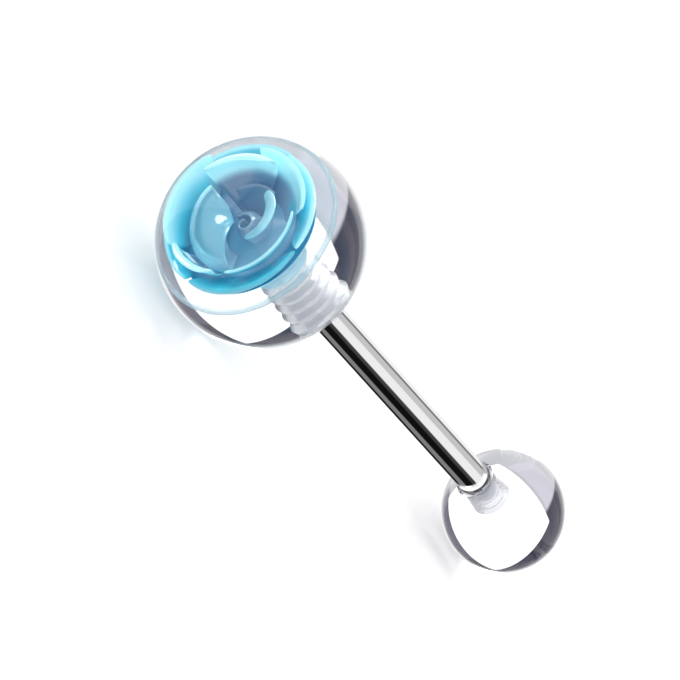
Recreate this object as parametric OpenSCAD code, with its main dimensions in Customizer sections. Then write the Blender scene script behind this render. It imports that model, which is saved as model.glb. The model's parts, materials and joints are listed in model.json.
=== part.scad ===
// Tongue barbell: a straight steel bar between two clear screw-on balls, the larger with a rose set inside.
// It lies on the ground on both balls. The ground is the plane z = 0, and the bar runs along X.

/* [Bar] */
// Diameter of the 14 gauge bar
bar_d = 1.63; // [1.5:0.01:1.7]
// Length of bar that shows between the two balls
bar_l = 15.9; // [12:0.1:22]
// Chamfer on each shoulder of the bar
bar_chamfer = 0.12; // [0.05:0.01:0.2]

/* [Balls] */
// Diameter of the clear ball that holds the rose
rose_ball_d = 10; // [9:0.1:12]
// Diameter of the clear ball at the other end
end_ball_d = 6; // [5:0.1:8]
// Depth of the plain seat that takes the bar's shoulder
seat_depth = 0.2; // [0.2:0.05:0.4]
// Gap round the bar in its seat
seat_gap = 0.08; // [0.08:0.01:0.12]

/* [Threads] */
// Outside diameter of the thread in the rose ball's end
rose_thread_d = 1.5; // [1.3:0.01:1.5]
// Outside diameter of the thread in the end ball's end
end_thread_d = 1.2; // [1.1:0.01:1.5]
// Distance from one thread ridge to the next
thread_pitch = 0.35; // [0.3:0.01:0.35]
// Number of ridges in the rose ball's end
rose_turns = 9; // [6:1:10]
// Number of ridges in the end ball's end
end_turns = 4; // [3:1:5]

/* [Rose] */
// Turn of the rose about the bar's own line
rose_turn = -70; // [-180:1:180]
// Height of the rose's disc above the ball's middle
disc_h = 0.3; // [0.1:0.05:0.4]
// Diameter of the clear disc
disc_d = 6.9; // [6.6:0.1:7.2]
// Thickness of the clear disc
disc_t = 0.22; // [0.15:0.01:0.3]
// Diameter of the base that the petals stand on
base_d = 5; // [4.2:0.1:5.4]
// Thickness of a petal
petal_t = 0.12; // [0.08:0.01:0.12]
// Scale of the whole rose on its disc
rose_scale = 1; // [0.9:0.01:1.02]

/* [Hidden] */
// Columns of the petal table: azimuths are degrees round the rose from its front, sizes are millimetres, and
// heights are above the petal's foot
NAME = 0;      // node of the petal
AZIMUTH = 1;   // direction that the petal's middle faces
HALF = 2;      // half of the angle that the petal spans
FOOT_R = 3;    // distance of the foot from the rose's axis
BELLY_R = 4;   // distance of the point that the petal's wall bends towards
BELLY_H = 5;   // height of that point
RIM_R = 6;     // distance of the wall's top from the rose's axis
RIM_H = 7;     // height of the wall's top
LIP = 8;       // radius of the rolled lip, outwards when above zero
ROLL = 9;      // angle that the lip is rolled through
SPIRAL = 10;   // how much further out the left edge lies than the middle
DROP = 11;     // share of the height that the petal loses at its two corners
PETALS = [
    ["outer_petal_1",  -38, 55, 1.85, 2.20, 0.12, 2.64, 0.32,  0.12, 110,  0.06, 0.12],
    ["outer_petal_2",   65, 48, 1.70, 2.35, 0.36, 2.88, 0.60,  0.12, 100,  0.04, 0.15],
    ["outer_petal_3",  147, 34, 2.26, 2.50, 0.14, 2.82, 0.34,  0.12,  90,  0.04, 0.12],
    ["outer_petal_4", -135, 40, 2.24, 2.50, 0.12, 2.80, 0.34,  0.12,  90,  0.04, 0.15],
    ["cup_petal_1",     -1, 51, 1.30, 2.02, 0.42, 2.26, 0.95,  0.10,  80,  0.04, 0.12],
    ["cup_petal_2",     91, 41, 1.25, 2.02, 0.42, 2.65, 0.94,  0.18,  80, -0.04, 0.15],
    ["cup_petal_3",    142, 34, 0.92, 1.90, 0.55, 2.28, 0.95, -0.48, 120,  0.04, 0.10],
    ["cup_petal_4",   -157, 36, 1.95, 2.46, 0.30, 2.80, 0.98,  0.16,  90,  0.04, 0.18],
    ["cup_petal_5",    -92, 27, 1.68, 2.34, 0.42, 2.38, 0.92,  0.28, 100,  0.10, 0.15],
    ["inner_petal_1",   34, 52, 0.60, 1.10, 0.50, 1.04, 0.86,  0.44, 125, -0.10, 0.10],
    ["inner_petal_2", -117, 65, 0.90, 1.96, 0.30, 1.98, 0.52, -0.95, 158,  0.06, 0.06],
    ["inner_petal_3",  126, 32, 0.68, 1.12, 0.40, 1.42, 0.66,  0.08,  60,  0.04, 0.15],
];
$fn = 96;

// Steps across a petal, up its wall and round its lip
ACROSS = 12;
WALL_STEPS = 5;
LIP_STEPS = 4;
// Share of a petal that is its wall. The rest is its lip.
WALL_SHARE = 0.65;
// Share of a petal's width that its foot has
FOOT_SHARE = 0.75;
// How square a petal's corners are
CORNER_POWER = 4;
// Steps along the bud's winding and up it
WINDING_STEPS = 30;
BUD_STEPS = 6;
// The bud is one sheet wound round the middle, and it bulges and closes in towards its top
bud_outer_r = 0.7;
bud_inner_r = 0.17;
bud_outer_angle = 185;
bud_winding = 420;
bud_h = 0.72;
bud_rise = 0.04;
bud_foot_share = 0.5;
bud_bulge = 0.44;
bud_bulge_angle = 178;
bud_bulge_power = 0.95;

bar_r = bar_d / 2;
seat_r = bar_r + seat_gap;
seat_chamfer = 0.1;
rose_ball_r = rose_ball_d / 2;
end_ball_r = end_ball_d / 2;
// Distance from each ball's middle to the mouth of its seat
rose_mouth = sqrt(pow(rose_ball_r, 2) - pow(seat_r, 2));
end_mouth = sqrt(pow(end_ball_r, 2) - pow(seat_r, 2));
// Places of the two balls' middles along the bar, from the bar's own middle
rose_at = bar_l / 2 + rose_mouth;
end_at = -bar_l / 2 - end_mouth;
// The shoulders stop just short of the seats' floors
shoulder_gap = 0.05;
shoulder_in = seat_depth - shoulder_gap;
thread_groove = 0.16;
// Each hole clears the bar's thread, and its own grooves are deeper than the bar's ridges need
thread_gap = 0.04;
tap_groove = 0.105;
// The parts of one turned piece run into each other by this much
joint = 0.05;
// Both balls rest on the ground, so the bar rises towards the larger
rest_tilt = asin((rose_ball_r - end_ball_r) / (rose_at - end_at));
rest_span = rose_ball_r + (rose_at - end_at) * cos(rest_tilt) + end_ball_r;
rose_x = rose_ball_r - rest_span / 2;

// The pocket leaves this much room round the rose
pocket_gap = 0.1;
pocket_top = 2.35;
pocket_dome_r = 3.95;
// Heights above the disc's top
base_gap = 0.02;
base_t = 0.1;
base_chamfer = 0.06;
petal_foot_h = 0.2;

// Places a piece drawn along +Z from the rose ball's middle where it rests, with the bar below it
module at_rose_ball() {
    translate([rose_x, 0, rose_ball_r])
        rotate([0, rest_tilt - 90, 0])
            children();
}

// Places a piece drawn round the bar's middle
module on_bar() {
    at_rose_ball() translate([0, 0, -rose_at]) children();
}

// Places a piece of the rose, drawn upwards from the top of its disc
module on_disc() {
    at_rose_ball() translate([0, 0, disc_h]) rotate([0, 0, rose_turn]) scale(rose_scale) children();
}

// Outline of a ridged round rod or hole that runs along +Z, one ridge to each turn
function ridged(turns, crest_r, root_r) = concat(
    [[0, 0], [root_r, 0]],
    [for (k = [0:turns - 1], step = [0:1])
        [step == 0 ? crest_r : root_r, (k + (step + 1) / 2) * thread_pitch]],
    [[0, turns * thread_pitch]]
);

// One end of the bar, from just below the bar's middle: chamfered shoulder, then the thread with a blunt tip
module bar_end(turns, thread_d) {
    length = bar_l / 2 + shoulder_in;
    thread_r = thread_d / 2;
    rotate_extrude()
        polygon([
            [0, -joint], [bar_r, -joint],
            [bar_r, length - bar_chamfer],
            [bar_r - bar_chamfer, length],
            [0, length]
        ]);
    translate([0, 0, length - joint])
        rotate_extrude()
            polygon(ridged(turns, thread_r, thread_r - thread_groove));
}

// Room for one end of the bar, upwards from the seat's mouth: a small countersink that widens on its way out
// of the ball, the seat, then the threaded hole
module bar_room(turns, thread_d) {
    hole_r = thread_d / 2 + thread_gap;
    rotate_extrude()
        polygon([
            [0, -seat_depth], [seat_r + seat_chamfer + seat_depth, -seat_depth],
            [seat_r + seat_chamfer, 0], [seat_r, seat_chamfer],
            [seat_r, seat_depth], [0, seat_depth]
        ]);
    translate([0, 0, seat_depth - joint])
        rotate_extrude()
            polygon(ridged(turns + 1, min(seat_r, hole_r + tap_groove), hole_r));
}

module bar() {
    color("silver")
        on_bar() {
            bar_end(rose_turns, rose_thread_d);
            mirror([0, 0, 1]) bar_end(end_turns, end_thread_d);
        }
}

// Outline of the pocket round the rose and its disc
module rose_pocket() {
    pocket_r = disc_d / 2 + pocket_gap;
    floor_h = disc_h - disc_t - pocket_gap;
    intersection() {
        translate([0, 0, floor_h]) cylinder(r = pocket_r, h = pocket_top - floor_h);
        sphere(r = pocket_dome_r);
    }
}

module rose_ball() {
    color([0.92, 0.96, 0.98, 0.35])
        at_rose_ball()
            difference() {
                sphere(r = rose_ball_r);
                translate([0, 0, -rose_mouth]) bar_room(rose_turns, rose_thread_d);
                rose_pocket();
            }
}

module end_ball() {
    color([0.92, 0.94, 0.96, 0.35])
        on_bar()
            translate([0, 0, end_at])
                difference() {
                    sphere(r = end_ball_r);
                    translate([0, 0, end_mouth]) mirror([0, 0, 1]) bar_room(end_turns, end_thread_d);
                }
}

module rose_disc() {
    color([0.85, 0.95, 1, 0.5])
        at_rose_ball()
            translate([0, 0, disc_h - disc_t]) cylinder(d = disc_d, h = disc_t);
}

module rose_base() {
    r = base_d / 2;
    color([0.1, 0.45, 0.7])
        on_disc()
            rotate_extrude()
                polygon([
                    [0, base_gap], [r - base_chamfer, base_gap], [r, base_gap + base_chamfer],
                    [r, base_gap + base_t], [0, base_gap + base_t]
                ]);
}

// Point of a curve from a towards b and on to c: t runs from 0 to 1
function bend(t, a, b, c) = pow(1 - t, 2) * a + 2 * t * (1 - t) * b + pow(t, 2) * c;

// Point of a petal's middle surface: u runs from -1 to 1 across it, and v from 0 at its foot to 1 at its tip
function petal_point(p, u, v) =
    let (
        up = v * (1 - p[DROP] * pow(abs(u), CORNER_POWER)),
        wall = min(1, up / WALL_SHARE),
        rolled = sign(p[LIP]) * p[ROLL] * max(0, (up - WALL_SHARE) / (1 - WALL_SHARE)),
        lean = atan2(p[RIM_H] - p[BELLY_H], p[RIM_R] - p[BELLY_R]),
        angle = p[AZIMUTH] + u * p[HALF] * (FOOT_SHARE + (1 - FOOT_SHARE) * sin(90 * wall)),
        lip_out = p[LIP] * (sin(lean) - sin(lean - rolled)),
        lip_up = p[LIP] * (cos(lean - rolled) - cos(lean)),
        r = bend(wall, p[FOOT_R], p[BELLY_R], p[RIM_R]) + lip_out - p[SPIRAL] * u,
        h = petal_foot_h + bend(wall, 0, p[BELLY_H], p[RIM_H]) + lip_up
    )
    [r * cos(angle), r * sin(angle), h];

// Point of the bud's middle surface: u runs from 0 to 1 inwards along it, and v from 0 at its foot to 1
function bud_point(u, v) =
    let (
        angle = bud_outer_angle - bud_winding * u,
        wound_r = bud_outer_r + (bud_inner_r - bud_outer_r) * u,
        bulge = bud_bulge * sin(bud_bulge_angle * pow(v, bud_bulge_power)),
        r = wound_r * (bud_foot_share + bulge),
        h = petal_foot_h + v * (bud_h + bud_rise * u)
    )
    [r * cos(angle), r * sin(angle), h];

// Closed sheet of one thickness from the rows of its middle surface
module sheet(rows, thickness) {
    n = len(rows);
    m = len(rows[0]);
    function at(i, j) = rows[max(0, min(n - 1, i))][max(0, min(m - 1, j))];
    function normal(i, j) =
        let (c = cross(at(i, j + 1) - at(i, j - 1), at(i + 1, j) - at(i - 1, j))) c / norm(c);
    front = [for (i = [0:n - 1], j = [0:m - 1]) at(i, j) + normal(i, j) * thickness / 2];
    back = [for (i = [0:n - 1], j = [0:m - 1]) at(i, j) - normal(i, j) * thickness / 2];
    function k(i, j) = i * m + j;
    half = n * m;
    edge = concat(
        [for (j = [0:m - 1]) k(0, j)],
        [for (i = [1:n - 1]) k(i, m - 1)],
        [for (j = [m - 2:-1:0]) k(n - 1, j)],
        [for (i = [n - 2:-1:1]) k(i, 0)]
    );
    faces = concat(
        [for (i = [0:n - 2], j = [0:m - 2], t = [0:1])
            t == 0 ? [k(i, j), k(i + 1, j), k(i + 1, j + 1)] : [k(i, j), k(i + 1, j + 1), k(i, j + 1)]],
        [for (i = [0:n - 2], j = [0:m - 2], t = [0:1])
            t == 0 ? [half + k(i, j), half + k(i + 1, j + 1), half + k(i + 1, j)]
                   : [half + k(i, j), half + k(i, j + 1), half + k(i + 1, j + 1)]],
        [for (e = [0:len(edge) - 1], t = [0:1])
            let (a = edge[e], b = edge[(e + 1) % len(edge)])
            t == 0 ? [a, b, half + b] : [a, half + b, half + a]]
    );
    polyhedron(concat(front, back), faces);
}

module petal(p) {
    steps = concat(
        [for (j = [0:WALL_STEPS - 1]) WALL_SHARE * j / WALL_STEPS],
        [for (j = [0:LIP_STEPS]) WALL_SHARE + (1 - WALL_SHARE) * j / LIP_STEPS]
    );
    rows = [for (v = steps) [for (i = [0:ACROSS]) petal_point(p, 2 * i / ACROSS - 1, v)]];
    color([0.45, 0.85, 0.95]) on_disc() sheet(rows, petal_t);
}

module bud() {
    rows = [for (j = [0:BUD_STEPS])
        [for (i = [0:WINDING_STEPS]) bud_point(i / WINDING_STEPS, j / BUD_STEPS)]];
    color([0.35, 0.75, 0.9]) on_disc() sheet(rows, petal_t);
}

bar();
rose_ball();
end_ball();
rose_disc();
rose_base();
bud();
for (p = PETALS)
    petal(p);
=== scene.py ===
import json
import math
from functools import cached_property

import bpy
from mathutils import Matrix, Vector

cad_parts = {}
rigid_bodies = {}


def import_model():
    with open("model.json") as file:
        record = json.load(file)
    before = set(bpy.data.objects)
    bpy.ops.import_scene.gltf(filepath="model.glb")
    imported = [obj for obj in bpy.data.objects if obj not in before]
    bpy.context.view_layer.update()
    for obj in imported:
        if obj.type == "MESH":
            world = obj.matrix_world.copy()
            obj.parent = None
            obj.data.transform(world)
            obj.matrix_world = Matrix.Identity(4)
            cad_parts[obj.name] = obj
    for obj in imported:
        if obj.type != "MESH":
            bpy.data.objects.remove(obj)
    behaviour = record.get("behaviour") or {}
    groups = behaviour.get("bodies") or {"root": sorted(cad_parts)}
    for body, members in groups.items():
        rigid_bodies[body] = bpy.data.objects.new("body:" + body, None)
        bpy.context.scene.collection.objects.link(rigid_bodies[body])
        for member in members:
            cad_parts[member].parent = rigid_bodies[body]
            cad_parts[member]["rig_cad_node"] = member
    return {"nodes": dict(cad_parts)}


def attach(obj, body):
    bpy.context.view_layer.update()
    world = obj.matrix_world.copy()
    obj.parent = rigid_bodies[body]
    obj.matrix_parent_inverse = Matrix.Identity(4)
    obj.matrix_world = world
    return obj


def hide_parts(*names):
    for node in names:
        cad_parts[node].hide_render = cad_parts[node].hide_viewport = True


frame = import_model()

bl_info = {
    "name": "Tongue Barbell",
    "version": (1, 0, 0),
    "blender": (4, 5, 0),
    "location": "3D View > Sidebar > Barbell",
    "description": "Builds a tongue barbell with a rose in a clear ball, and its stage",
    "category": "Object",
}

PETALS = [name for name in sorted(frame["nodes"]) if "petal" in name]
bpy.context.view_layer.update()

# One millimetre, and the distance in metres below which two corners are one
MM = 0.001
SAME_POINT = 1e-6

# Steps round the wide pieces and the slim ones, and along a ball's outline
WIDE_STEPS = 160
SLIM_STEPS = 128
ARC_STEPS = 120

# Share of its chamfer that a seat's countersink reaches outwards before it meets the ball's round surface
MOUTH_FLARE = 0.85

# A face of a ball's hole is an end, and no wall, where its normal is along the hole by more than this share
FLAT = 0.95

# Edges sharper than this stay crisp on a spun piece
CRISP_ANGLE = math.radians(30)

# Two triangles of a petal join to a quad up to this angle between them and this skew of the quad's corners
JOIN_ANGLE = math.radians(60)
CORNER_ANGLE = math.radians(180)

# How often a petal's faces are divided in four
PETAL_LEVELS = 2

# How strongly acrylic bends light
ACRYLIC_IOR = 1.49

# The disc's haze in its middle, what its rim's painted highlight adds, and the shares of its radius over
# which that highlight fades in
DISC_HAZE = 0.16
RIM_HIGHLIGHT_HAZE = 0.4
RIM_START, RIM_END = 0.93, 0.98

# Distance from the rose's middle line, to its left, of the line that the flared lips are measured from
FLARE_OFFSET = 0.3 * MM

# The floor's side in metres, and the width of the camera's film in millimetres
FLOOR_SIZE = 4
SENSOR_WIDTH = 36

# The studio's light, where 1 is the white of the background
BACKGROUND = (1.0, 1.0, 1.0)
FILL_LIGHT = (1.45, 1.45, 1.45)
WINDOW_LIGHT = (1.4, 1.4, 1.4)
LAMP_LIGHT = (7, 7, 7)
PALE_GREY = (0.8, 0.8, 0.82)
WALL_GREY = (0.55, 0.56, 0.6)
PANEL_GREY = (0.66, 0.65, 0.74)
CALM_GREY = (0.35, 0.35, 0.38)
DARK_SIDE = (0.12, 0.115, 0.17)
DARK_LOW = (0.02, 0.014, 0.045)

# How much of the calm grey lies over the strips, where it isn't the whole
CALM_SHARE = 0.25

# Strips of light round the bar: degrees from its front towards the picture's upper right, and the light there
STRIPS = [
    (-180, 1.0), (-152, 1.0), (-149, 0.004), (-121, 0.004), (-112, 0.24), (-82, 0.24), (-76, 0.006),
    (-36, 0.006), (-30, 0.05), (-12, 0.06), (-6, 0.98), (44, 0.98), (50, 0.62), (86, 0.64),
    (93, 0.2), (105, 0.22), (111, 1.0), (140, 1.0), (146, 0.8), (152, 1.0), (180, 1.0),
]

# Cosines to the bar's line of the directions that it mirrors to the camera, and how softly they end
BAR_MIRRORS = (-0.87, -0.5)
MIRROR_EDGE = 0.05

# The pale panel's sides, as slopes across and along the bar from the camera's line of sight, and its edge
PANEL_ACROSS = (-1.3, -0.49)
PANEL_ALONG = (-0.42, 0.46)
PANEL_EDGE = 0.015

# The window's corners, as slopes across and along the bar from the camera's line of sight, and its soft edge
WINDOW_CORNERS = [(0.768, 1.135), (1.727, -1.436), (-0.424, -0.593), (-0.441, 0.628)]
WINDOW_EDGE = 0.01

# The lamp: how far the petal that mirrors it leans, how far round from the camera's side it does, and the
# angles in radians, from the lamp's middle, where its light begins and where it is full
LAMP_LEAN = math.radians(40)
LAMP_FACING = math.radians(65)
LAMP_EDGE, LAMP_CORE = 0.34, 0.31


def length(name, description, default):
    """A size in metres for a property group."""
    return bpy.props.FloatProperty(
        name=name, description=description, default=default, unit="LENGTH", precision=5
    )


def angle(name, description, degrees):
    """An angle for a property group."""
    return bpy.props.FloatProperty(
        name=name, description=description, default=math.radians(degrees), subtype="ANGLE"
    )


def count(name, description, default):
    """A whole number for a property group."""
    return bpy.props.IntProperty(name=name, description=description, default=default, min=1)


def colour(name, description, default):
    """A colour for a property group."""
    return bpy.props.FloatVectorProperty(
        name=name, description=description, default=default, size=3, subtype="COLOR", min=0, max=1
    )


class BARBELL_PG_sizes(bpy.types.PropertyGroup):
    bar_diameter: length("Bar diameter", "Diameter of the 14 gauge bar", 0.00163)
    bar_length: length("Bar length", "Length of bar that shows between the balls", 0.0159)
    bar_chamfer: length("Bar chamfer", "Chamfer on each shoulder of the bar", 0.00012)
    rose_ball_diameter: length("Rose ball", "Diameter of the ball with the rose", 0.01)
    end_ball_diameter: length("End ball", "Diameter of the ball at the other end", 0.006)
    seat_depth: length("Seat depth", "Depth of the seat that takes the bar's shoulder", 0.0002)
    seat_gap: length("Seat gap", "Gap round the bar in its seat", 0.00008)
    shoulder_gap: length("Shoulder gap", "Gap between the bar's shoulder and its seat's floor", 0.00005)
    seat_chamfer: length("Seat chamfer", "Countersink at the mouth of each seat", 0.0001)
    rose_thread: length("Rose ball's thread", "Diameter of the thread in the rose ball's end", 0.0015)
    end_thread: length("End ball's thread", "Diameter of the thread in the end ball's end", 0.0012)
    thread_pitch: length("Thread pitch", "Distance from one ridge to the next", 0.00035)
    thread_groove: length("Thread groove", "Depth of the thread's grooves", 0.00016)
    thread_gap: length("Thread gap", "Gap between the thread and its hole", 0.00004)
    tap_groove: length("Tapped groove", "Depth of the grooves in the balls' holes", 0.000104)
    rose_turns: count("Rose ball ridges", "Ridges of thread in the rose ball's end", 9)
    end_turns: count("End ball ridges", "Ridges of thread in the end ball's end", 4)
    disc_height: length("Disc height", "Height of the disc's top above the ball's middle", 0.0003)
    disc_diameter: length("Disc diameter", "Diameter of the clear disc under the rose", 0.0069)
    disc_thickness: length("Disc thickness", "Thickness of the clear disc", 0.00022)
    base_diameter: length("Base diameter", "Diameter of the base that the petals stand on", 0.005)
    base_thickness: length("Base thickness", "Thickness of that base", 0.0001)
    base_chamfer: length("Base chamfer", "Chamfer under the base's rim", 0.00006)
    base_gap: length("Base gap", "Gap between the base and the disc", 0.00002)
    # The rose's front is the side that its painted shade treats as lit
    rose_front: angle("Rose front", "Direction round the bar's line that the rose's front faces", -69.71)


class BARBELL_PG_looks(bpy.types.PropertyGroup):
    # Painted shade: the deep blue low between the petals, where shade falls
    petal_painted_shade: colour("Petal deep", "Colour low between the petals", (0.0, 0.22, 0.40))
    petal_mid: colour("Petal middle", "Colour of the petals' walls", (0.08, 0.66, 0.80))
    # Painted highlight: the pale colour of the petals' lips and tops
    petal_painted_highlight: colour("Petal light", "Colour of the petals' lips", (0.55, 0.95, 0.99))
    petal_inner: colour("Petal, inner", "Colour of the inner petals' tops", (0.20, 0.58, 0.72))
    # Painted shade in the rose's middle: grey lilac, darker at the back and lighter at the front, the side
    # that faces the light
    heart_shade_back: colour("Heart, back", "Colour of the back of the rose's middle", (0.13, 0.22, 0.38))
    heart_shade_front: colour("Heart, front", "Colour of the front of the rose's middle", (0.30, 0.44, 0.57))
    disc: colour("Disc", "Colour of the clear disc", (0.85, 0.9, 0.95))
    # Painted highlight: the tint of the pearly line along the clear disc's rim
    disc_rim_highlight: colour("Disc rim", "Colour of the clear disc's rim", (0.5, 0.74, 0.82))
    steel: colour("Steel", "Colour of the polished bar", (0.86, 0.86, 0.87))
    thread: colour("Thread", "Colour of the bar's threaded ends", (0.93, 0.93, 0.95))
    acrylic: colour("Acrylic", "Tint of the clear balls", (1.0, 1.0, 1.0))
    hole: colour("Hole", "Tint of the frosted walls of the balls' holes", (0.72, 0.73, 0.77))


class BARBELL_PG_stage(bpy.types.PropertyGroup):
    azimuth: angle("Azimuth", "Direction of the camera round the object", -44.25)
    elevation: angle("Elevation", "Angle of the camera above the floor", 18)
    roll: angle("Roll", "Turn of the camera about its own line of sight", 58.55)
    distance: length("Distance", "Distance of the camera from the point it aims at", 0.6535)
    aim_right: length("Aim right", "Aim point, to the picture's right of the origin", 0.001733)
    aim_up: length("Aim up", "Aim point, to the picture's top from the origin", 0.003302)
    lens: bpy.props.FloatProperty(
        name="Lens", description="Focal length in millimetres", default=729.12
    )
    floor: colour("Floor", "Colour of the floor", (0.93, 0.93, 0.93))


class Layout:
    """Places and directions that the pieces share, from the sizes."""

    def __init__(self, s):
        self.rose_r = s.rose_ball_diameter / 2
        self.end_r = s.end_ball_diameter / 2
        self.bar_r = s.bar_diameter / 2
        self.seat_r = self.bar_r + s.seat_gap
        # Along the bar's line: from each ball's middle to its mouth, and from the bar's middle to each ball's
        self.rose_mouth = math.sqrt(self.rose_r**2 - self.seat_r**2)
        self.end_mouth = math.sqrt(self.end_r**2 - self.seat_r**2)
        self.rose_at = s.bar_length / 2 + self.rose_mouth
        self.end_at = -s.bar_length / 2 - self.end_mouth
        # The bar lies on both balls, so its line is tilted
        reach = self.rose_at - self.end_at
        tilt = math.asin((self.rose_r - self.end_r) / reach)
        span = self.rose_r + reach * math.cos(tilt) + self.end_r
        self.turn = Matrix.Rotation(tilt - math.pi / 2, 4, "Y")
        self.axis = self.turn @ Vector((0, 0, 1))
        self.rose_centre = Vector((self.rose_r - span / 2, 0, self.rose_r))
        self.middle = self.rose_centre - self.axis * self.rose_at
        self.end_centre = self.middle + self.axis * self.end_at
        self.disc_top = self.rose_centre + self.axis * s.disc_height
        # The rose's own front and right
        self.front = self.turn @ Vector((math.cos(s.rose_front), math.sin(s.rose_front), 0))
        self.right = self.axis.cross(self.front)


def sizes():
    return bpy.context.scene.barbell_sizes


def looks():
    return bpy.context.scene.barbell_looks


def stage():
    return bpy.context.scene.barbell_stage


class Wire:
    """An output socket that adds, multiplies and mixes as a number, or as a vector where vector is True."""

    def __init__(self, socket, vector=False):
        self.socket = socket
        self.vector = vector

    @property
    def tree(self):
        return self.socket.id_data

    def node(self, kind, sockets, out=0, vector=False, **settings):
        """The output of a new node of this kind, with its settings and its sockets' wires or constants."""
        made = self.tree.nodes.new(kind)
        for key, value in settings.items():
            setattr(made, key, value)
        for key, value in sockets.items():
            if isinstance(value, Wire):
                self.tree.links.new(value.socket, made.inputs[key])
            else:
                made.inputs[key].default_value = value
        return Wire(made.outputs[out], vector)

    def math(self, operation, a, b):
        """The result of an operation on two wires or constants, as vectors where a wire is a vector."""
        vector = any(isinstance(value, Wire) and value.vector for value in (a, b))
        kind = "ShaderNodeVectorMath" if vector else "ShaderNodeMath"
        return self.node(kind, {0: a, 1: b}, vector=vector, operation=operation)

    def __add__(self, other):
        return self.math("ADD", self, other)

    __radd__ = __add__

    def __sub__(self, other):
        return self.math("SUBTRACT", self, other)

    def __rsub__(self, other):
        return self.math("SUBTRACT", other, self)

    def __mul__(self, other):
        return self.math("MULTIPLY", self, other)

    __rmul__ = __mul__

    def __truediv__(self, other):
        return self.math("DIVIDE", self, other)

    def dot(self, direction):
        """How far this vector goes in the direction."""
        sockets = {0: self, 1: direction}
        return self.node("ShaderNodeVectorMath", sockets, out="Value", operation="DOT_PRODUCT")

    def along(self, direction):
        """The vector that is this number times the direction."""
        sockets = {0: direction, "Scale": self}
        return self.node("ShaderNodeVectorMath", sockets, vector=True, operation="SCALE")

    def length(self):
        """The length of this vector."""
        return self.node("ShaderNodeVectorMath", {0: self}, out="Value", operation="LENGTH")

    def angle(self, other):
        """The angle in radians whose sine is along this wire and whose cosine is along the other."""
        return self.math("ARCTAN2", self, other)

    def step(self, low, high):
        """Smooth step from 0 at low to 1 at high, which may be the lower of the two."""
        return self.node(
            "ShaderNodeMapRange",
            {"Value": self, "From Min": low, "From Max": high, "To Min": 0.0, "To Max": 1.0},
            interpolation_type="SMOOTHSTEP",
        )

    def between(self, low, high, soft):
        """Mask that is 1 from low to high with soft edges."""
        return self.step(low - soft, low + soft) * (1 - self.step(high - soft, high + soft))

    def mix(self, first, second):
        """First colour where this mask is 0, second where it is 1."""
        factor, colour_a, colour_b, result = 0, 6, 7, 2
        first, second = (value if isinstance(value, Wire) else (*value, 1.0) for value in (first, second))
        return self.node(
            "ShaderNodeMix", {factor: self, colour_a: first, colour_b: second}, out=result, data_type="RGBA"
        )

    def ramp(self, stops):
        """Grey from a table of position and grey, with the first position at 0 and the last at 1."""
        made = self.tree.nodes.new("ShaderNodeValToRGB")
        elements = made.color_ramp.elements
        for position, _ in stops[1:-1]:
            elements.new(position)
        for element, (_, grey) in zip(elements, stops):
            element.color = (grey, grey, grey, 1.0)
        self.tree.links.new(self.socket, made.inputs[0])
        return Wire(made.outputs[0])


def any_of(*masks):
    """A mask that is 1 where any of these is."""
    return 1 - math.prod(1 - mask for mask in masks)


def material(name, **constants):
    """A new material with its Principled shader's constants set, and the shader node."""
    made = bpy.data.materials.new(name)
    made.use_nodes = True
    shader = made.node_tree.nodes["Principled BSDF"]
    for key, value in constants.items():
        socket = shader.inputs[key.replace("_", " ")]
        socket.default_value = (*value, 1.0) if socket.type == "RGBA" else value
    return made, shader


def feed(shader, key, wire):
    shader.id_data.links.new(wire.socket, shader.inputs[key])


class RosePlace:
    """Where a point of the rose is, as wires that are made when they are first asked for."""

    def __init__(self, shader, layout):
        coordinates = shader.id_data.nodes.new("ShaderNodeTexCoord")
        self.layout = layout
        self.place = Wire(coordinates.outputs["Object"], vector=True) - layout.disc_top

    @cached_property
    def height(self):
        """Height above the disc."""
        return self.place.dot(self.layout.axis)

    @cached_property
    def flat(self):
        """The place from the rose's middle line, without its height."""
        return self.place - self.height.along(self.layout.axis)

    @cached_property
    def radius(self):
        """Distance from the rose's middle line."""
        return self.flat.length()

    @cached_property
    def reach(self):
        """Distance from a line a little to the left of the middle one."""
        return (self.flat + self.layout.right * FLARE_OFFSET).length()

    @cached_property
    def front(self):
        """How far the place is towards the rose's front."""
        return self.place.dot(self.layout.front)

    @cached_property
    def right(self):
        """How far the place is towards the rose's right."""
        return self.place.dot(self.layout.right)

    def zone(self, strength=1, **fades):
        """A mask that fades in from a start to an end, in millimetres, of each measure that is named."""
        masks = [getattr(self, measure).step(start * MM, end * MM) for measure, (start, end) in fades.items()]
        return math.prod(masks, start=strength)


def clear_acrylic():
    made, _ = material(
        "clear_acrylic", Base_Color=looks().acrylic, Roughness=0.0, IOR=ACRYLIC_IOR, Transmission_Weight=1.0
    )
    return made


def tapped_acrylic():
    """The frosted walls of the threaded holes."""
    made, _ = material(
        "tapped_acrylic", Base_Color=looks().hole, Roughness=0.35, IOR=ACRYLIC_IOR, Transmission_Weight=0.6
    )
    return made


def polished_steel():
    made, _ = material("polished_steel", Base_Color=looks().steel, Metallic=1.0, Roughness=0.03)
    return made


def thread_steel():
    made, _ = material("thread_steel", Base_Color=looks().thread, Metallic=1.0, Roughness=0.3)
    return made


def rose_backing(layout):
    """A clear disc with a faint haze, and a pearly rim, tinted and hazier, that is a painted highlight along
    its edge.
    """
    made, shader = material("rose_backing", Roughness=0.2)
    disc_r = sizes().disc_diameter / 2
    # The rim's painted highlight: more haze and a pearly tint towards the disc's edge
    rim = RosePlace(shader, layout).radius.step(disc_r * RIM_START, disc_r * RIM_END)
    feed(shader, "Alpha", DISC_HAZE + rim * RIM_HIGHLIGHT_HAZE)
    feed(shader, "Base Color", rim.mix(looks().disc, looks().disc_rim_highlight))
    return made


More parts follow.
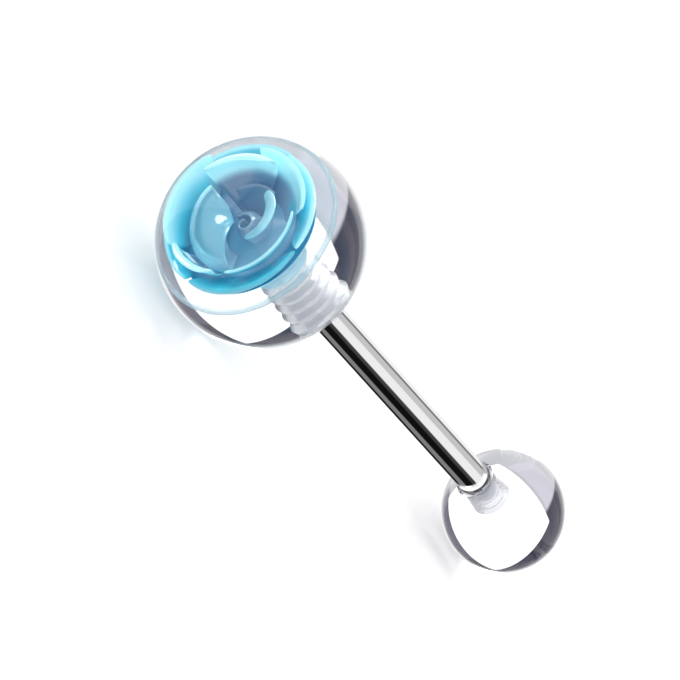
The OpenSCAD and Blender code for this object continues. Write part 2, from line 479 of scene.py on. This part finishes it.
def pearly_petal(layout):
    """Pearly petals: painted highlights on the lips, painted shade deep low down and grey lilac in the
    middle, and a faint painted glow of the same colours.
    """
    # The emission is a faint painted glow, fed below by the painted colours
    made, shader = material(
        "pearly_petal", Roughness=0.18, IOR=1.2, Transmission_Weight=0.4, Coat_Weight=1.0,
        Coat_Roughness=0.03, Coat_IOR=1.9, Emission_Strength=0.16
    )
    look = looks()
    at = RosePlace(shader, layout)

    # Turquoise walls with deep blue painted shade low down between the petals, above the base
    over_base = at.zone(height=(0.06, 0.1))
    walls = at.zone(height=(0.1, 0.7)).mix(look.petal_painted_shade, look.petal_mid)
    walls = over_base.mix(look.petal_mid, walls)

    # Painted shade in the middle, grey lilac, darker at the back than at the lit front and easing to the
    # inner petals' teal higher up, except low on the front petals' walls
    heart = at.zone(front=(-1.2, 0.8)).mix(look.heart_shade_back, look.heart_shade_front)
    heart = at.zone(height=(0.9, 1.4), strength=0.8).mix(heart, look.petal_inner)
    low_front = at.zone(radius=(1.5, 1.8), height=(0.8, 0.65), front=(0.2, 0.8))
    middle = at.zone(radius=(2.5, 1.8), strength=0.9) * (1 - low_front) * over_base
    body = middle.mix(walls, heart)

    # Painted highlights, pale, on the lips: flared at the right, the outermost edge, the cup's crest and
    # back, and the inner petals' tops
    flared = at.zone(reach=(2.2, 2.6), height=(0.6, 1.0), right=(-0.8, 0.4))
    edge = at.zone(radius=(2.78, 2.9), strength=0.7)
    crest = at.zone(radius=(1.95, 2.2), height=(0.9, 1.15))
    back = at.zone(radius=(1.8, 2.1), height=(0.6, 1.1), front=(1.2, 0.4))
    top = at.zone(radius=(1.55, 1.75), height=(1.0, 1.2), right=(-0.9, -0.3))
    fold = at.zone(height=(1.1, 1.5), right=(0.0, 0.6), strength=0.5)
    shade = any_of(flared, edge, crest, back, top, fold).mix(body, look.petal_painted_highlight)
    feed(shader, "Base Color", shade)
    # The same painted light and shade also goes to the glow, which lifts the petals as if lit from within
    feed(shader, "Emission Color", shade)
    return made


def start_mesh(name, point):
    """A new object whose mesh is one vertex at the point, in edit mode."""
    bpy.ops.object.select_all(action="DESELECT")
    bpy.ops.mesh.primitive_plane_add(size=MM)
    obj = bpy.context.object
    obj.name = name
    bpy.ops.object.mode_set(mode="EDIT")
    bpy.ops.mesh.select_mode(type="VERT")
    bpy.ops.mesh.select_all(action="SELECT")
    bpy.ops.mesh.merge(type="CENTER")
    bpy.ops.transform.translate(value=point)
    return obj


def spun(name, outline, steps):
    """A solid spun round Z from an outline of distance and height that starts and ends on the axis."""
    obj = start_mesh(name, (outline[0][0], 0, outline[0][1]))
    for a, b in zip(outline, outline[1:]):
        bpy.ops.mesh.extrude_region_move(
            TRANSFORM_OT_translate={"value": (b[0] - a[0], 0, b[1] - a[1])}
        )
    bpy.ops.mesh.select_all(action="SELECT")
    bpy.ops.mesh.spin(steps=steps, angle=2 * math.pi, center=(0, 0, 0), axis=(0, 0, 1))
    bpy.ops.mesh.select_all(action="SELECT")
    bpy.ops.mesh.remove_doubles(threshold=SAME_POINT)
    bpy.ops.mesh.normals_make_consistent(inside=False)
    bpy.ops.object.mode_set(mode="OBJECT")
    bpy.ops.object.shade_smooth_by_angle(angle=CRISP_ANGLE)
    return obj


def paint_faces(obj, mat, wanted):
    """Gives a second material to the faces whose centre and normal the test wants."""
    obj.data.materials.append(mat)
    obj.active_material_index = 1
    bpy.ops.object.mode_set(mode="EDIT")
    bpy.ops.mesh.select_all(action="DESELECT")
    bpy.ops.mesh.select_mode(type="FACE")
    bpy.ops.object.mode_set(mode="OBJECT")
    for face in obj.data.polygons:
        face.select = wanted(face.center, face.normal)
    bpy.ops.object.mode_set(mode="EDIT")
    bpy.ops.object.material_slot_assign()
    bpy.ops.object.mode_set(mode="OBJECT")


def set_down(obj, layout, place):
    """Turns a piece drawn along Z to the bar's line, and moves its origin to the place, in the mesh."""
    obj.matrix_world = Matrix.Translation(place) @ layout.turn
    bpy.ops.object.transform_apply(location=True, rotation=True, scale=True)


def finish_piece(obj, mat, body, node):
    """Gives a piece its first material, puts it on the body it rides on, and hides the node that it replaces.
    """
    obj.data.materials.clear()
    obj.data.materials.append(mat)
    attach(obj, body)
    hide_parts(node)


def arc(radius, start, end, steps):
    """Points of distance and height on a ball's outline, by the angle from its top."""
    angles = [start + (end - start) * i / steps for i in range(steps + 1)]
    return [(radius * math.sin(a), radius * math.cos(a)) for a in angles]


def ridges(turns, crest, root, start, pitch):
    """Outline of ridges from a start along +Z, by the radius of their crests and of the roots between."""
    points = [(root, start)]
    for k in range(turns):
        points += [(crest, start + (k + 0.5) * pitch), (root, start + (k + 1) * pitch)]
    return points


def ball_outline(layout, radius, mouth, turns, thread):
    """Outline of a ball from its top round to its seat and threaded hole at the bottom."""
    s = sizes()
    lip = layout.seat_r + s.seat_chamfer * MOUTH_FLARE
    seat_floor = s.seat_depth - mouth
    hole_r = thread / 2 + s.thread_gap
    hole = ridges(turns + 1, hole_r, hole_r + s.tap_groove, seat_floor, s.thread_pitch)
    outline = arc(radius, 0, math.pi - math.asin(lip / radius), ARC_STEPS)
    outline += [(layout.seat_r, s.seat_chamfer - mouth), (layout.seat_r, seat_floor)]
    return outline + hole[1:] + [(0, hole[-1][1])]


class BARBELL_OT_bar(bpy.types.Operator):
    """Adds the polished bar with a thread at each end"""

    bl_idname = "barbell.bar"
    bl_label = "Bar"

    def execute(self, context):
        s = sizes()
        layout = Layout(s)
        shoulder = s.bar_length / 2 + s.seat_depth - s.shoulder_gap

        def end(turns, thread, side):
            crest = thread / 2
            ridged = ridges(turns, crest, crest - s.thread_groove, shoulder, s.thread_pitch)
            points = [(layout.bar_r, shoulder - s.bar_chamfer), (layout.bar_r - s.bar_chamfer, shoulder)]
            points += ridged + [(0, ridged[-1][1])]
            return [(r, side * h) for r, h in points]

        outline = end(s.end_turns, s.end_thread, -1)[::-1] + end(s.rose_turns, s.rose_thread, 1)
        bar = spun("polished_bar", outline, SLIM_STEPS)
        finish_piece(bar, polished_steel(), "bar", "bar")
        paint_faces(bar, thread_steel(), lambda centre, normal: abs(centre.z) > shoulder - SAME_POINT)
        set_down(bar, layout, layout.middle)
        return {"FINISHED"}


class BARBELL_OT_balls(bpy.types.Operator):
    """Adds the two clear balls with their seats and threaded holes"""

    bl_idname = "barbell.balls"
    bl_label = "Balls"

    def execute(self, context):
        s = sizes()
        layout = Layout(s)
        acrylic = clear_acrylic()
        tapped = tapped_acrylic()

        def in_hole(centre, normal):
            return math.hypot(centre.x, centre.y) < layout.seat_r - SAME_POINT and abs(normal.z) < FLAT

        def add(name, node, outline, steps, centre):
            ball = spun(name, outline, steps)
            finish_piece(ball, acrylic, node, node)
            paint_faces(ball, tapped, in_hole)
            set_down(ball, layout, centre)

        outline = ball_outline(layout, layout.rose_r, layout.rose_mouth, s.rose_turns, s.rose_thread)
        add("clear_rose_ball", "rose_ball", outline, WIDE_STEPS, layout.rose_centre)
        outline = ball_outline(layout, layout.end_r, layout.end_mouth, s.end_turns, s.end_thread)
        outline = [(r, -h) for r, h in outline]
        add("clear_end_ball", "end_ball", outline, SLIM_STEPS, layout.end_centre)
        return {"FINISHED"}


def smooth_copy(node, name, levels):
    """A copy of a faceted node with its corners merged, its surface subdivided and smooth."""
    bpy.ops.object.select_all(action="DESELECT")
    node.select_set(True)
    bpy.context.view_layer.objects.active = node
    bpy.ops.object.duplicate()
    obj = bpy.context.object
    obj.name = name
    # The copy is a piece of its own, and no CAD node any more
    del obj["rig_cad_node"]
    bpy.ops.object.mode_set(mode="EDIT")
    bpy.ops.mesh.select_all(action="SELECT")
    bpy.ops.mesh.remove_doubles(threshold=SAME_POINT)
    bpy.ops.mesh.tris_convert_to_quads(face_threshold=JOIN_ANGLE, shape_threshold=CORNER_ANGLE)
    bpy.ops.object.mode_set(mode="OBJECT")
    obj.modifiers.new("Subdivision", "SUBSURF").levels = levels
    bpy.ops.object.modifier_apply(modifier="Subdivision")
    bpy.ops.object.shade_smooth()
    return obj


class BARBELL_OT_rose(bpy.types.Operator):
    """Adds the rose's petals, its bud, its base and its clear disc"""

    bl_idname = "barbell.rose"
    bl_label = "Rose"

    def execute(self, context):
        s = sizes()
        layout = Layout(s)
        pearly = pearly_petal(layout)
        for name in [*PETALS, "bud"]:
            petal = smooth_copy(frame["nodes"][name], name + "_smooth", PETAL_LEVELS)
            finish_piece(petal, pearly, "rose_ball", name)

        r, low = s.disc_diameter / 2, -s.disc_thickness
        disc = spun("rose_disc_clear", [(0, low), (r, low), (r, 0), (0, 0)], WIDE_STEPS)
        set_down(disc, layout, layout.disc_top)
        finish_piece(disc, rose_backing(layout), "rose_ball", "rose_disc")

        r, low, chamfer = s.base_diameter / 2, s.base_gap, s.base_chamfer
        top = low + s.base_thickness
        outline = [(0, low), (r - chamfer, low), (r, low + chamfer), (r, top), (0, top)]
        base = spun("rose_base_smooth", outline, SLIM_STEPS)
        set_down(base, layout, layout.disc_top)
        finish_piece(base, pearly, "rose_ball", "rose_base")
        return {"FINISHED"}


class Sight:
    """The camera's place, the picture's own directions, and the bar's, as the camera sees it."""

    def __init__(self, view, layout):
        a, e = view.azimuth, view.elevation
        self.back = Vector((math.sin(a) * math.cos(e), -math.cos(a) * math.cos(e), math.sin(e)))
        right = Vector((0, 0, 1)).cross(self.back).normalized()
        up = self.back.cross(right)
        self.right = right * math.cos(view.roll) + up * math.sin(view.roll)
        self.up = up * math.cos(view.roll) - right * math.sin(view.roll)
        self.place = self.right * view.aim_right + self.up * view.aim_up + self.back * view.distance
        # In the picture's plane, along the bar to the end ball and across it. Front is the bar's nearest side
        toward = self.back * layout.axis.dot(self.back) - layout.axis
        self.along = toward.normalized()
        self.across = self.back.cross(self.along)
        self.front = (self.back - layout.axis * layout.axis.dot(self.back)).normalized()


def build_camera(sight):
    turn = Matrix((sight.right, sight.up, sight.back)).transposed()
    bpy.ops.object.camera_add(location=sight.place, rotation=turn.to_euler())
    camera = bpy.context.object
    camera.data.lens = stage().lens
    camera.data.sensor_width = SENSOR_WIDTH
    camera.data.clip_start = 0.01
    camera.data.clip_end = 100
    bpy.context.scene.camera = camera


def build_floor():
    bpy.ops.mesh.primitive_plane_add(size=FLOOR_SIZE, location=(0, 0, 0))
    floor = bpy.context.object
    floor.name = "floor"
    made, _ = material("floor_white", Base_Color=stage().floor, Roughness=0.12, Specular_IOR_Level=0.2)
    floor.data.materials.append(made)
    floor.visible_transmission = False
    floor.visible_glossy = False


def mirrored_light(ray, sight, layout):
    """Strips of light round the bar, softer where it doesn't mirror them to the camera. Straight behind the
    balls, which their rims mirror, is a calm grey."""
    turn = ray.dot(sight.across).angle(ray.dot(sight.front)) / (2 * math.pi) + 0.5
    strips = turn.ramp([(degrees / 360 + 0.5, grey) for degrees, grey in STRIPS])
    beside = ray.dot(layout.axis).between(*BAR_MIRRORS, MIRROR_EDGE)
    behind = ray.dot(-sight.back).step(0.7, 0.9)
    calm = CALM_SHARE + behind * (1 - CALM_SHARE)
    return beside.mix(calm.mix(strips, CALM_GREY), strips)


def window_mask(ray, sight):
    """The white window behind the object, which the balls show upside down."""
    corners = [
        (sight.across * slope_across + sight.along * slope_along - sight.back).normalized()
        for slope_across, slope_along in WINDOW_CORNERS
    ]
    mask = 1
    for first, second in zip(corners, corners[1:] + corners[:1]):
        inward = first.cross(second).normalized()
        if inward.dot(sight.back) > 0:
            inward.negate()
        mask = mask * ray.dot(inward).step(-WINDOW_EDGE, WINDOW_EDGE)
    return mask


def lamp_direction(sight, layout):
    """Where the inner petal, whose top leans to the front and the right, mirrors the lamp to the camera."""
    right = layout.axis.cross(sight.front)
    level = sight.front * math.cos(LAMP_FACING) + right * math.sin(LAMP_FACING)
    normal = layout.axis * math.cos(LAMP_LEAN) + level * math.sin(LAMP_LEAN)
    return normal * (2 * normal.dot(sight.back)) - sight.back


def seen_light(ray, sight, layout):
    """What shows through the balls: the window, a pale panel at its left, dark surroundings, and the lamp."""
    into, along = ray.dot(-sight.back), ray.dot(sight.along)
    slope_across = ray.dot(sight.across) / into
    slope_along = along / into
    ahead = into.step(0.0, 0.1)
    panel = slope_across.between(*PANEL_ACROSS, PANEL_EDGE) * slope_along.between(*PANEL_ALONG, PANEL_EDGE)
    dark_side = slope_across.step(0.6, 0.8)
    dark_low = slope_along.step(-0.36, -0.44)
    far_end = along.step(0.72, 0.9)
    near_side = into.step(0.45, 0.22)
    lamp = ray.dot(lamp_direction(sight, layout)).step(math.cos(LAMP_EDGE), math.cos(LAMP_CORE))
    light = (panel * ahead).mix(WALL_GREY, PANEL_GREY)
    light = (dark_side * ahead).mix(light, DARK_SIDE)
    light = (dark_low * ahead).mix(light, DARK_LOW)
    light = far_end.mix(light, PALE_GREY)
    light = near_side.mix(light, PALE_GREY)
    light = lamp.mix(light, LAMP_LIGHT)
    return window_mask(ray, sight).mix(light, WINDOW_LIGHT)


def build_world(sight, layout):
    """A white studio, with light strips for reflections and a window that shows through the balls."""
    world = bpy.data.worlds.new("studio")
    bpy.context.scene.world = world
    world.use_nodes = True
    nodes = world.node_tree.nodes
    path = nodes.new("ShaderNodeLightPath")
    ray = Wire(nodes.new("ShaderNodeTexCoord").outputs["Generated"], vector=True)
    shown = Wire(path.outputs["Is Glossy Ray"]).mix(FILL_LIGHT, mirrored_light(ray, sight, layout))
    shown = Wire(path.outputs["Is Transmission Ray"]).mix(shown, seen_light(ray, sight, layout))
    shown = Wire(path.outputs["Is Camera Ray"]).mix(shown, BACKGROUND)
    feed(nodes["Background"], "Color", shown)


class BARBELL_OT_stage(bpy.types.Operator):
    """Adds the floor, the studio light and the camera"""

    bl_idname = "barbell.stage"
    bl_label = "Stage"

    def execute(self, context):
        layout = Layout(sizes())
        sight = Sight(stage(), layout)
        build_floor()
        build_world(sight, layout)
        build_camera(sight)
        scene = context.scene
        scene.view_settings.view_transform = "Standard"
        scene.view_settings.look = "None"
        # Enough for light to pass through the balls, their holes and the rose
        scene.cycles.max_bounces = 24
        scene.cycles.transmission_bounces = 20
        scene.cycles.glossy_bounces = 8
        scene.cycles.diffuse_bounces = 6
        scene.cycles.caustics_reflective = True
        scene.cycles.caustics_refractive = True
        scene.cycles.blur_glossy = 0.0
        return {"FINISHED"}


class BARBELL_PT_panel(bpy.types.Panel):
    """Buttons and sizes of the barbell"""

    bl_idname = "BARBELL_PT_panel"
    bl_label = "Tongue Barbell"
    bl_space_type = "VIEW_3D"
    bl_region_type = "UI"
    bl_category = "Barbell"

    def draw(self, context):
        for operator in OPERATORS:
            self.layout.operator(operator.bl_idname)
        for group in (sizes(), looks(), stage()):
            box = self.layout.box()
            for key in group.bl_rna.properties.keys():
                if key not in ("rna_type", "name"):
                    box.prop(group, key)


OPERATORS = [BARBELL_OT_stage, BARBELL_OT_bar, BARBELL_OT_balls, BARBELL_OT_rose]
GROUPS = [BARBELL_PG_sizes, BARBELL_PG_looks, BARBELL_PG_stage]


def register():
    for made in (*GROUPS, *OPERATORS, BARBELL_PT_panel):
        bpy.utils.register_class(made)
    bpy.types.Scene.barbell_sizes = bpy.props.PointerProperty(type=BARBELL_PG_sizes)
    bpy.types.Scene.barbell_looks = bpy.props.PointerProperty(type=BARBELL_PG_looks)
    bpy.types.Scene.barbell_stage = bpy.props.PointerProperty(type=BARBELL_PG_stage)


def unregister():
    del bpy.types.Scene.barbell_sizes
    del bpy.types.Scene.barbell_looks
    del bpy.types.Scene.barbell_stage
    for made in reversed((*GROUPS, *OPERATORS, BARBELL_PT_panel)):
        bpy.utils.unregister_class(made)


def main():
    register()
    bpy.ops.barbell.stage()
    bpy.ops.barbell.bar()
    bpy.ops.barbell.balls()
    bpy.ops.barbell.rose()


if __name__ == "__main__":
    main()
